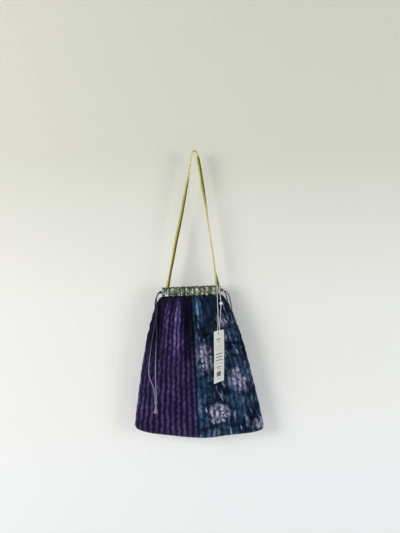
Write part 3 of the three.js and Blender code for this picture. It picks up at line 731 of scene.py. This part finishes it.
def cord_tip(name, material):
    """A flared cloth tip: a wrapped neck that opens into a small pleated skirt."""
    low, high = node_box(name)
    centre = (low + high) / 2
    height = high[2] - low[2]
    flare = (high[0] - low[0]) / 2
    rows, sides, pleats, inner_rows = 28, 48, 7, 23
    cloth_thickness = 0.45 * MM
    down = np.linspace(0, 1, rows + 1)[:, None]
    angles = circle(sides)
    neck = CORD_DIAMETER * 0.62
    open_out = neck + (flare * 0.88 - neck) * smoothstep(down, 0.12, 1.0) ** 1.2
    open_out = open_out + 0.25 * MM * np.exp(-((down - 0.14) / 0.05) ** 2)
    depth = 0.16 * smoothstep(down, 0.15, 0.8)
    wave = np.cos(pleats * angles) + 0.35 * np.cos(3 * angles + 1)
    radius = open_out * (1 + depth * wave * 0.8)
    z = high[2] - height * down * (1 - 0.03 * np.cos(5 * angles + 0.7) * down)
    outside = stacked(centre[0] + radius * np.cos(angles), centre[1] + radius * np.sin(angles), z)
    inside = outside.copy()
    inward = (1 - cloth_thickness / open_out)[..., None]
    inside[..., :2] = centre[:2] + (outside[..., :2] - centre[:2]) * inward
    inside = inside[::-1][:inner_rows]
    points = np.concatenate([outside, inside]).reshape(-1, 3)
    faces = tube_faces(0, len(outside) + len(inside), sides, flip=True)
    uvs = stacked(points[:, 0] + points[:, 1], points[:, 2])
    return mesh_object(name + "_cloth", points, faces, [material], uvs)


def drawstrings():
    yarn = fibre_material("drawstring", (0.010, 0.008, 0.028), (0.060, 0.052, 0.110), 0.6, 0.04,
                          painted_highlight_ends=(0.70, (0.30, 0.29, 0.44)))
    tip_cloth = fibre_material("cord_tip", (0.12, 0.11, 0.18), (0.36, 0.35, 0.46), 0.7, 0.1)
    for side, route in (("left", LEFT_DRAWSTRING), ("right", RIGHT_DRAWSTRING)):
        points = metres(route)
        cord, path, length = rope(f"{side}_drawstring", points, CORD_DIAMETER, yarn)
        tied = knot(f"{side}_knot", yarn)
        tip = cord_tip(f"{side}_cord_tip", tip_cloth)
        belongs(cord, "bag", f"drawstring_{side}")
        belongs(tied, "bag", f"{side}_knot")
        belongs(tip, "bag", f"{side}_cord_tip")


def hang_tag():
    thread = fibre_material("tag_thread", (0.62, 0.62, 0.58), (0.86, 0.86, 0.83), 0.7, 0.1)
    loop, path, length = rope("tag_thread_loop", metres(TAG_LOOP), THREAD_DIAMETER, thread, plies=2)
    belongs(loop, "bag", "tag_loop")

    string, path, length = rope("tag_thread", metres(TAG_STRING), THREAD_DIAMETER, thread, plies=2)
    bead, card = tag_bead(), tag_card()
    belongs(string, "tag", "tag_string")
    belongs(bead, "tag", "tag_bead")
    belongs(card, "tag", "tag_card")


def tag_bead():
    low, high = node_box("tag_bead")
    route = [Vector(p) for p in metres(TAG_STRING)]
    centre = route[TAG_BEAD_AT]
    axis = (route[TAG_BEAD_AT + 1] - route[TAG_BEAD_AT - 1]).normalized()
    radius = (high[2] - low[2]) / 2
    bore = THREAD_DIAMETER / 2 + 0.25 * MM
    rows, sides = 28, 40
    start = math.asin(bore / radius)
    arc = np.linspace(start, math.pi - start, rows)
    profile = [(radius * math.sin(a), -radius * math.cos(a)) for a in arc]
    bore_end = radius * math.cos(start) * 0.8
    profile += [(bore * 0.9, bore_end), (bore * 0.9, -bore_end)]
    turn = Vector((0, 0, 1)).rotation_difference(axis).to_matrix()
    points = [centre + turn @ Vector((r * math.cos(angle), r * math.sin(angle), z))
              for r, z in profile for angle in circle(sides)]
    last = (len(profile) - 1) * sides
    faces = grid_faces(0, len(profile) - 1, sides, wrap=True)
    faces += [(last + c, last + (c + 1) % sides, (c + 1) % sides, c) for c in range(sides)]
    glazed = plain_material("bead", 500, 500, (0.74, 0.74, 0.71), (0.84, 0.84, 0.82), 0.22, 0.02 * MM, 0.3,
                            Coat_Weight=0.3)
    return mesh_object("tag_bead_turned", points, faces, [glazed])


def tag_card():
    """The card, a little curled, with rounded corners and a punched hole."""
    low, high = node_box("tag_card")
    centre = (low + high) / 2
    height = high[2] - low[2]
    half_x, half_y = (high[0] - low[0]) / 2, (high[1] - low[1]) / 2
    turn = math.atan2(half_y, half_x)
    half_width = math.hypot(half_x, half_y) - 0.1 * MM
    thickness, corner, spokes = 0.6 * MM, 1.6 * MM, 32
    hole, hole_down = 2.25 * MM, 6 * MM
    curl_back, bow = -1.1 * MM, 0.8 * MM

    def outline_point(angle):
        """Where a ray from the hole's centre meets the card's edge, and the round corners."""
        dx, dz = math.cos(angle), math.sin(angle)
        beyond = hole_down if dz > 0 else height - hole_down
        reach = min(half_width / max(abs(dx), 1e-9), beyond / max(abs(dz), 1e-9))
        x, z = dx * reach, dz * reach - hole_down
        cx = half_width - corner
        for cz, above in ((-corner, z > -corner), (-height + corner, z < -height + corner)):
            if above and abs(x) > cx:
                away = math.hypot(abs(x) - cx, z - cz)
                x = math.copysign(cx + (abs(x) - cx) * corner / away, x)
                z = cz + (z - cz) * corner / away
        return x, z

    corner_angles = [math.atan2(z, x) for x in (-half_width, half_width)
                     for z in (hole_down, hole_down - height)]
    angles = sorted(set(np.linspace(-math.pi, math.pi, spokes, endpoint=False).tolist())
                    | {a + d for a in corner_angles for d in (-0.05, -0.02, 0.0, 0.02, 0.05)}
                    | {a + d for a in corner_angles[1::2] for d in (-0.012, -0.006, 0.006, 0.012)})
    rings = [0.0, 0.012, 0.05, 0.12, 0.22, 0.34, 0.48, 0.62, 0.76, 0.88, 0.96, 1.0]
    front, uvs = [], []
    for share in rings:
        for angle in angles:
            edge_x, edge_z = outline_point(angle)
            hole_x, hole_z = hole * math.cos(angle), hole * math.sin(angle) - hole_down
            front.append((hole_x + (edge_x - hole_x) * share, hole_z + (edge_z - hole_z) * share))
    points = []
    for side in (-1, 1):
        for x, z in front:
            curl = curl_back * (x / half_width) ** 2 + bow * math.sin(math.pi * z / height)
            y = side * thickness / 2 + curl
            points.append((centre[0] + x * math.cos(turn) - y * math.sin(turn),
                           centre[1] + x * math.sin(turn) + y * math.cos(turn), high[2] + z))
            uvs.append((x, z))
    spoke_count, ring_count = len(angles), len(rings)
    half = spoke_count * ring_count
    faces = grid_faces(0, ring_count - 1, spoke_count, wrap=True, flip=True)
    faces += grid_faces(half, ring_count - 1, spoke_count, wrap=True)
    for c in range(spoke_count):
        d = (c + 1) % spoke_count
        last = (ring_count - 1) * spoke_count
        faces.append((c, half + c, half + d, d)[::-1])
        faces.append((last + c, last + d, half + last + d, half + last + c)[::-1])
    piece = mesh_object("tag_card_printed", points, faces, [card_material()], uvs)
    piece.data.polygons.foreach_set("use_smooth", [False] * len(piece.data.polygons))
    return piece


# Quilted body

# Places of the gathered folds, from -1 at the left side to 1 at the right: place at the mouth, place
# lower down, height as a share, half width, how far down they reach
FRONT_FOLDS = [
    (-0.95, -0.94, 0.42, 0.080, 0.22), (-0.63, -0.57, 0.88, 0.085, 0.27), (-0.35, -0.31, 1.10, 0.120, 0.50),
    (0.17, 0.20, 1.05, 0.100, 0.36), (0.80, 0.86, 0.95, 0.120, 0.40), (0.36, 0.38, 0.22, 0.045, 0.10),
    (-0.81, -0.78, 0.22, 0.040, 0.11), (-0.15, -0.12, 0.10, 0.035, 0.09), (0.58, 0.60, 0.20, 0.040, 0.10),
]
BACK_FOLDS = [
    (-0.86, -0.84, 0.60, 0.09, 0.22), (-0.48, -0.44, 0.95, 0.10, 0.34), (-0.10, -0.07, 0.65, 0.08, 0.20),
    (0.28, 0.31, 0.95, 0.10, 0.38), (0.62, 0.64, 0.60, 0.07, 0.18), (0.92, 0.93, 0.42, 0.07, 0.20),
    (-0.28, -0.25, 0.22, 0.04, 0.10), (0.46, 0.47, 0.22, 0.04, 0.1),
]
FOLD_DEPTH = 12 * MM


def fold_height(across, down, folds):
    height = np.zeros(np.broadcast(across, down).shape)
    for top_place, low_place, share, width, reach in folds:
        place = top_place + (low_place - top_place) * np.clip(down / 0.3, 0, 1)
        lean = np.where(across > place, 0.75, 1.2)
        away = (across - place) / (width * lean * (1 + 0.5 * down))
        rise = (down + 0.025) / (0.5 * reach)
        strength = rise * np.exp(1 - rise)
        height = height + share * strength * np.exp(-np.abs(away) ** 1.8)
    return FOLD_DEPTH * height


# Each panel stands a little to its own side of the seams
SEAM_SHIFT = 0.15 * MM
# Points across one channel, rows down the outside and the lining, and how far down the lining goes
PER_CHANNEL = 5
ROWS = 112
LINING_ROWS = 28
LINING_REACH = 0.955
ROW_CROWDING = 1.35
HEM_ROWS = 6
EDGE = 0.003
# Unevenness: how far the sewn lines wander, as a share of a channel, and the soft swells of the cloth
SEAM_WANDER = 0.07
SWELL_SIZE = 34 * MM
SWELL_HEIGHT = 1.6 * MM
PUCKER_PITCH = 13.5 * MM
FULL_PUFF = 2.2 * MM
# The bottom corners are drawn in and up, and the hem waves a little
CORNER_IN = 2.5 * MM
CORNER_UP = 3 * MM
HEM_WAVE = 1.2 * MM


def body_wall(loop, down, inset):
    """Points of the body's wall, their outward directions, and the height of the folds there.

    `loop` is 0 at the front seam, 0.5 at the left side, 1 at the back seam and 1.5 at the right side.
    """
    half_mouth = MOUTH_WIDTH / 2
    half_width = half_mouth + (BOTTOM_WIDTH / 2 - half_mouth) * down ** 0.6 - 1.5 * inset
    centre = MOUTH_OFFSET + (BOTTOM_OFFSET - MOUTH_OFFSET) * down
    past = np.clip((down - BELLY_AT) / (1 - BELLY_AT), 0, 1)
    upper = MOUTH_DEPTH + (BELLY_DEPTH - MOUTH_DEPTH) * smoothstep(down, 0, BELLY_AT)
    lower = HEM_DEPTH + (BELLY_DEPTH - HEM_DEPTH) * np.sqrt(1 - past ** 2)
    half_depth = np.where(down < BELLY_AT, upper, lower) / 2 - inset
    power = 3 - down
    from_seam = 1 - np.abs((2 * loop) % 2 - 1)
    reach = np.clip(from_seam * 1.06 - 0.06 * from_seam ** 8, 0, 1)
    front = (loop < 0.5) | (loop > 1.5)
    side = np.where(front, -1.0, 1.0)
    across = np.where(loop < 1, -reach, reach)
    out_depth = (1 - reach ** power) ** (1 / power)
    x = centre + half_width * across
    y = side * half_depth * out_depth
    out_x = np.sign(across) * reach ** (power - 1) / half_width
    out_y = side * out_depth ** (power - 1) / half_depth
    size = np.hypot(out_x, out_y)
    out_x, out_y = out_x / size, out_y / size
    folds = np.where(front, fold_height(across, down, FRONT_FOLDS), fold_height(across, down, BACK_FOLDS))
    swell = folds * out_depth
    x = x + out_x * swell
    z = BODY_TOP + mouth_lift(x) * (1 - down) - down * (BODY_HEIGHT + BOTTOM_SAG * (1 - across ** 2))
    corner = np.abs(across) ** 24 * smoothstep(down, 0.955, 1.0) ** 2
    x = x - np.sign(across) * corner * CORNER_IN
    z = z + corner * CORNER_UP + down ** 6 * HEM_WAVE * np.sin(7.5 * across + 4.4)
    return stacked(x, y + out_y * swell, z), stacked(out_x, out_y, 0.0), swell


def lumps(points, scale, seed):
    """Smooth noise from -1 to 1 at each point."""
    flat = points.reshape(-1, 3) / scale + seed
    return np.array([noise.noise(Vector(p)) for p in flat]).reshape(points.shape[:-1])


CLOTH_VALUES = {
    "quality": 5, "mass": 0.15, "tension_stiffness": 12, "compression_stiffness": 12, "shear_stiffness": 4,
    "bending_stiffness": 0.02, "tension_damping": 8, "compression_damping": 8, "shear_damping": 8,
}
TRIAL_SCALE = 10.0


def puffed(points, stitched, frames=20, pressure=5.0, growth=0.06, cap=3.6 * MM):
    """Lets the cloth between the stitched lines billow and pucker, and gives back its points."""
    rows, columns = points.shape[0] - 1, points.shape[1] - 1
    cloth = mesh_object("cloth_trial", points.reshape(-1, 3) * TRIAL_SCALE, grid_faces(0, rows, columns), [])
    group = cloth.vertex_groups.new(name="stitched")
    group.add(np.flatnonzero(stitched.ravel()).tolist(), 1.0, "REPLACE")
    modifier = cloth.modifiers.new("cloth", "CLOTH")
    values = CLOTH_VALUES | {"use_pressure": True, "uniform_pressure_force": pressure,
                             "shrink_min": -growth, "vertex_group_mass": "stitched"}
    for key, value in values.items():
        setattr(modifier.settings, key, value)
    modifier.settings.effector_weights.gravity = 0
    modifier.collision_settings.use_collision = False
    modifier.point_cache.frame_end = frames
    scene = bpy.context.scene
    for number in range(1, frames + 1):
        scene.frame_set(number)
    evaluated = cloth.evaluated_get(bpy.context.evaluated_depsgraph_get())
    moved = np.empty(len(evaluated.data.vertices) * 3)
    evaluated.data.vertices.foreach_get("co", moved)
    moved = moved.reshape(points.shape) / TRIAL_SCALE
    scene.frame_set(1)
    data = cloth.data
    bpy.data.objects.remove(cloth)
    bpy.data.meshes.remove(data)
    shift = moved - points
    size = np.linalg.norm(shift, axis=-1, keepdims=True)
    return points + shift * np.minimum(1, cap / np.maximum(size, 1e-9))


def subdivided_once(grid):
    """Where one subdivision moves the inner points of a grid."""
    moved = grid.copy()
    moved[1:-1, 1:-1] = (9 / 16 * grid[1:-1, 1:-1]
                         + 3 / 32 * (grid[:-2, 1:-1] + grid[2:, 1:-1] + grid[1:-1, :-2] + grid[1:-1, 2:])
                         + 1 / 64 * (grid[:-2, :-2] + grid[:-2, 2:] + grid[2:, :-2] + grid[2:, 2:]))
    return moved


def stitches(name, lines, outs, material, length=2.6 * MM, gap=1.5 * MM, radius=0.26 * MM):
    """Thread seen along sewn lines: short rounded stitches, sunk a little in the cloth."""
    sides, sunk, raised = 6, 0.5, 1.3
    first_at, last_gap = 2.5 * MM, 2 * MM
    ring_places, ring_sizes = (0.0, 0.18, 0.5, 0.82, 1.0), (0.35, 0.9, 1.0, 0.9, 0.35)
    angles = circle(sides)
    points, faces, uvs = [], [], []
    for line, out in zip(lines, outs):
        along = run(line)
        for start in np.arange(first_at, along[-1] - length - last_gap, length + gap):
            faces += tube_faces(len(points), len(ring_places), sides)
            places = start + np.array(ring_places) * length
            centres = read_along(places, along, line)
            ahead = unit(centres[-1] - centres[0])
            side = unit(np.cross(ahead, read_along(places[2], along, out)))
            up = np.cross(side, ahead)
            for centre, share, size in zip(centres, ring_places, ring_sizes):
                rise = radius * (raised * math.sin(math.pi * share) - sunk)
                for angle in angles:
                    points.append(centre + up * (rise + radius * size * math.sin(angle))
                                  + side * radius * size * math.cos(angle))
                    uvs.append((radius * angle, start + share * length))
    return mesh_object(name, points, faces, [material], uvs)


def panel_wall(loop_start, rows, columns, reach, inset):
    """One panel's share of the body's wall, as body_wall gives it, and how far down each row lies."""
    down = reach * (1 - (1 - np.linspace(0, 1, rows + 1)) ** ROW_CROWDING)
    share, fall = np.meshgrid(np.linspace(0, 1, columns + 1), down)
    wander = (np.sin(21 * fall + 17 * share + loop_start) + 0.8 * np.sin(47 * fall - 31 * share + 2)
              + 0.6 * np.sin(83 * fall + 59 * share))
    loop = loop_start + share + SEAM_WANDER / CHANNELS * wander * np.sin(math.pi * share) ** 0.5
    return *body_wall(loop, fall, inset), down


def quilted_cloth(loop_start, rows, columns):
    """The outside of one panel: its points, outward directions, how far down each row lies, and its painted
    shade and highlight.
    """
    outer, out, folds, down = panel_wall(loop_start, rows, columns, 1.0, 0.0)
    soft = lumps(outer, SWELL_SIZE, 7.0 + loop_start)
    fade = np.sin(math.pi * np.clip(down, 0, 1))[:, None] ** 0.5
    outer = outer + out * (soft * fade * SWELL_HEIGHT)[..., None]
    flat = outer.copy()
    channel = np.abs(np.sin(math.pi * CHANNELS * np.linspace(0, 1, columns + 1)))[None, :]
    inner_rows = ((down > EDGE) & (down < 1 - EDGE))[:, None]
    ridge = np.where(inner_rows, channel, 0)
    # Puckers: each channel's own beat down the cloth, a little uneven
    number = np.arange(columns + 1) // PER_CHANNEL
    along = outer[..., 2] / PUCKER_PITCH + 0.37 * number ** 1.3 + 0.35 * lumps(outer, 22 * MM, 31.0)
    seeded = 0.32 * np.cos(2 * math.pi * along) + 0.25 * lumps(outer, 8 * MM, 53.0)
    outer = outer + out * (ridge * (1.0 + seeded) * MM)[..., None]
    hem_stitch = np.zeros((rows + 1, 1), bool)
    hem_stitch[rows - HEM_ROWS] = True
    stitched = (channel < 1e-6) | ~inner_rows | hem_stitch
    outer = puffed(outer, np.broadcast_to(stitched, outer.shape[:2]))
    puff = np.sum((outer - flat) * out, axis=-1) / FULL_PUFF
    # Painted shade and highlight: the colour factor is lowest in the stitched valleys and between the
    # gathered folds near the mouth, and highest on the channel and fold crests.
    crest = np.clip(folds / (0.75 * FOLD_DEPTH), 0, 1) ** 1.3
    gathered = (1 - smoothstep(down, 0.16, 0.60))[:, None]
    relief = 0.62 * ridge ** 1.6 + 0.38 * ridge * np.clip(puff, 0.0, 1.0)
    relief = relief * (1 - 0.92 * (1 - crest) * gathered) * (0.53 + 0.47 * crest * gathered)
    return outer, out, down, relief


def quilted_panel(name, node, loop_start, seam_shift, material, lining, thread):
    """One quilted panel: a closed shell from the front seam round its side to the back seam."""
    rows, columns = ROWS, CHANNELS * PER_CHANNEL
    outer, out, down, relief = quilted_cloth(loop_start, rows, columns)
    inner = panel_wall(loop_start, LINING_ROWS, CHANNELS, LINING_REACH, WALL)[0]
    shift = np.array([seam_shift, 0, 0])
    outer, inner = outer + shift, inner + shift

    first = outer.shape[0] * outer.shape[1]
    outside = np.arange(first).reshape(outer.shape[:2])
    inside = first + np.arange(inner.shape[0] * inner.shape[1]).reshape(inner.shape[:2])
    faces = grid_faces(0, rows, columns)
    shown = len(faces)
    faces += grid_faces(first, LINING_ROWS, CHANNELS, flip=True)
    hem, floor = outside[-1], inside[-1]
    faces += [(hem[c], hem[c + 1], hem[-2 - c], hem[-1 - c]) for c in range(columns // 2)]
    faces += [(floor[c + 1], floor[c], floor[-1 - c], floor[-2 - c]) for c in range(CHANNELS // 2)]
    for fine, coarse in ((outside[0], inside[0]), (outside[::-1, 0], inside[::-1, 0]),
                         (outside[:, -1], inside[:, -1]),
                         ((outside[-1, -1], outside[-1, 0]), (inside[-1, -1], inside[-1, 0]))):
        faces += zip_faces(list(fine), list(coarse))
    faces = [tuple(int(i) for i in dict.fromkeys(face)) for face in faces]
    faces = [face for face in faces if len(face) > 2]

    uvs = [(BOTTOM_WIDTH * (loop_start + c / columns), -(BODY_HEIGHT + BOTTOM_SAG) * d)
           for d in down for c in range(columns + 1)]
    piece = shell_object(name, outer, inner, faces, shown, [material, lining], uvs, relief)
    keep_sharp(piece, [outside[:, 0], outside[:, -1], (hem[0], hem[-1])], (hem[0], hem[-1]))
    subdivide(piece)
    belongs(piece, "bag", node)
    settled = subdivided_once(outer)
    seams = range(PER_CHANNEL, columns, PER_CHANNEL)
    sewn = stitches(name + "_stitches", [settled[:, c] for c in seams], [out[:, c] for c in seams], thread)
    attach(sewn, "bag")


# Casings

RUFFLES = 11.5
RUFFLE_DEPTH = 1.9 * MM
RUFFLE_SWAY = 0.9 * MM
FRILL_DEPTH = 0.8 * MM
FRILL_HEIGHT = 0.7 * MM
CASING_GATHER = 2.2
# The two sewn lines above and below the tunnel, as shares of half the height
CASING_SEAMS = (0.62, -0.62)
CASING_SEAM_DEPTH = 0.8 * MM
TUNNEL_DEPTH = 4.6 * MM
TUNNEL_HEIGHT = 7 * MM


def half_gap(across):
    return (MOUTH_END_GAP + (MOUTH_GAP - MOUTH_END_GAP) * (1 - across ** 2)) / 2


def casing(name, node, side, material, lining):
    """One ruffled casing: a gathered band with a frilled top edge, a tunnel, and a scalloped lower edge."""
    stations, tunnel_stations, sides = 420, 14, 36
    share = np.linspace(0, 1, stations + 1)
    across = 2 * share - 1
    x = MOUTH_OFFSET + MOUTH_WIDTH / 2 * across
    middle = (CASING_TOP + CASING_BOTTOM) / 2 + mouth_lift(x)
    seed = 3.0 if side < 0 else 11.0

    def noise_along(pitch, *place):
        return np.array([noise.noise(Vector((p * pitch, *place))) for p in share])

    turns = 2 * math.pi * (RUFFLES * share + 0.55 * noise_along(6.0, seed, 0.0))
    wave = np.cos(turns) + 0.35 * np.cos(2.3 * turns + 1.1)
    wave = (wave * (0.75 + 0.5 * noise_along(9.0, seed + 5, 1.0)))[:, None]
    height = CASING_TOP - CASING_BOTTOM
    depth_a, height_b = rounded_ring(sides, CASING_THICKNESS - 1.2 * MM, height, 0.6, 0.75)
    level = height_b / (height / 2)
    frill = 0.55 + 0.45 * np.abs(level) ** 1.5
    sewn = sum(np.exp(-((level - seam) / 0.10) ** 2) for seam in CASING_SEAMS)
    face = np.clip(depth_a / (0.3 * CASING_THICKNESS), 0, 1)
    outward = (wave * RUFFLE_DEPTH * frill - CASING_SEAM_DEPTH * sewn) * face
    edge = np.clip(np.abs(level) - 0.75, 0, 1) * 4
    outward = outward + edge * wave * FRILL_DEPTH
    y = side * (half_gap(across)[:, None] + CASING_THICKNESS / 2 + depth_a + outward + 0.7 * MM)
    scallop = np.where(level > 0, 1, 1.3) * edge * np.sign(level)
    z = middle[:, None] + height_b + scallop * wave * FRILL_HEIGHT
    outer = stacked(x[:, None] + np.sin(turns)[:, None] * RUFFLE_SWAY * frill * face, y, z)

    tunnel_a, tunnel_b = rounded_ring(sides, TUNNEL_DEPTH, TUNNEL_HEIGHT, 0.6, 0.75)
    pick = np.linspace(0, stations, tunnel_stations + 1).astype(int)[:, None]
    inner = stacked(x[pick], side * (half_gap(across[pick]) + CASING_THICKNESS / 2 + tunnel_a),
                    middle[pick] + tunnel_b)
    first = (stations + 1) * sides
    flip = side > 0
    faces = grid_faces(0, stations, sides, flip=flip, wrap=True)
    shown = len(faces)
    faces += grid_faces(first, tunnel_stations, sides, flip=not flip, wrap=True)
    for c in range(sides):
        d = (c + 1) % sides
        last, last_inner = stations * sides, first + tunnel_stations * sides
        ends = [(c, first + c, first + d, d), (last + d, last_inner + d, last_inner + c, last + c)]
        faces += [end[::-1] if flip else end for end in ends]
    around = run(np.stack([depth_a, height_b], axis=1))
    uvs = [(CASING_GATHER * MOUTH_WIDTH * s, w) for s in share for w in around]
    # Painted shade and highlight: lighter on the ruffles, darker between them, and darkest along the top
    # edge.
    rim = np.exp(-((level - 1) / 0.20) ** 2)
    relief = np.clip(0.62 + 0.40 * wave, 0, 1) * (1 - 0.95 * rim)
    piece = shell_object(name, outer, inner, faces, shown, [material, lining], uvs, relief)
    belongs(piece, "bag", node)


# Strap

LEFT_STRAND = [
    (0.08, 0.13, 5), (0.18, 0.22, 18), (0.285, 0.32, 42), (0.44, 0.46, 55), (0.56, 0.58, 80),
    (0.665, 0.69, 105), (0.78, 0.79, 122), (0.88, 0.885, 140), (0.945, 0.945, 128), (1, 0.99, 90),
]
RIGHT_STRAND = [
    (0.07, 0.165, 80), (0.13, 0.235, 112), (0.235, 0.325, 92), (0.34, 0.425, 45), (0.45, 0.535, 20),
    (0.58, 0.64, 5), (0.74, 0.775, 0), (0.88, 0.885, 10), (0.945, 0.945, 45), (1, 0.99, 90),
]
STRAP_WIDTH = 7 * MM
STRAP_THICKNESS = 3 * MM
STRAP_CROWN = 0.25 * MM
STRAP_BEND_RADIUS = 4.6 * MM
STRAP_TUCK = 14 * MM
STRAP_INSETS = {-1: 10 * MM, 1: 6 * MM}


def strap_stations():
    """Each station: place, and twist in degrees, from the left end over the top bend to the right end."""
    def strand(entries, side):
        across = side * (1 - 2 * STRAP_INSETS[side] / MOUTH_WIDTH)
        end_x = MOUTH_OFFSET + MOUTH_WIDTH / 2 * across
        seat = half_gap(across + side * STRAP_WIDTH / MOUTH_WIDTH) - 0.3 * MM - STRAP_THICKNESS / 2
        top = CASING_TOP + mouth_lift(end_x)
        stations = [(end_x * out, seat * float(smoothstep(down, 0.8, 1)), top * down, side * twist)
                    for down, out, twist in entries]
        return stations + [(end_x, seat, top - STRAP_TUCK, side * 90)]

    bend = []
    for turn in (-1, -0.5, 0, 0.5, 1):
        angle = turn * math.pi / 2
        bend.append((STRAP_BEND_RADIUS * math.sin(angle), 0,
                     STRAP_THICKNESS / 2 - STRAP_BEND_RADIUS * (1 - math.cos(angle)), 0))
    return strand(LEFT_STRAND, -1)[::-1] + bend + strand(RIGHT_STRAND, 1)


def strap(material):
    """The flat strap, twisted as its stations say, a little crowned on one face."""
    count, sides = 620, 20
    stations = np.array(strap_stations())
    path = centripetal(stations * (1, 1, 1, MM), count)
    centre, twist = path[:, :3], np.radians(path[:, 3] / MM)
    tangent = unit(np.gradient(centre, axis=0))
    depth_axis = np.array([0, 1.0, 0])
    across = unit(np.cross(tangent, depth_axis))
    wide = depth_axis * np.cos(twist)[:, None] + across * np.sin(twist)[:, None]
    thin = unit(np.cross(tangent, wide))
    a, b = rounded_ring(sides, STRAP_WIDTH, STRAP_THICKNESS, 0.35, 0.6)
    b = b * 0.85 + STRAP_CROWN * (1 - (a / (STRAP_WIDTH / 2)) ** 2)
    points = centre[:, None] + a[:, None] * wide[:, None] + b[:, None] * thin[:, None]
    along = np.linspace(0, run(centre)[-1], count)
    uvs = stacked(a, along[:, None])
    piece = mesh_object("strap_lace", points.reshape(-1, 3), tube_faces(0, count, sides), [material],
                        uvs.reshape(-1, 2))
    belongs(piece, "bag", "strap")


camera_and_light()
backdrop()
drawstrings()
hang_tag()
lining = plain_material("lining", 90, 2200, (0.010, 0.010, 0.020), (0.030, 0.028, 0.050), 0.7, 0.08 * MM, 0.6)
purple_thread = fibre_material("purple_thread", (0.012, 0.008, 0.040), (0.050, 0.040, 0.115), 0.5, 0.05)
blue_thread = fibre_material("blue_thread", (0.006, 0.010, 0.030), (0.030, 0.050, 0.095), 0.5, 0.05)
quilted_panel("purple_quilting", "purple_panel", 0, -SEAM_SHIFT, purple_material(), lining, purple_thread)
quilted_panel("print_quilting", "print_panel", 1, SEAM_SHIFT, print_material(), lining, blue_thread)
gathered_print = casing_material()
casing("front_casing_ruffle", "front_casing", -1, gathered_print, lining)
casing("back_casing_ruffle", "back_casing", 1, gathered_print, lining)
strap(strap_material())
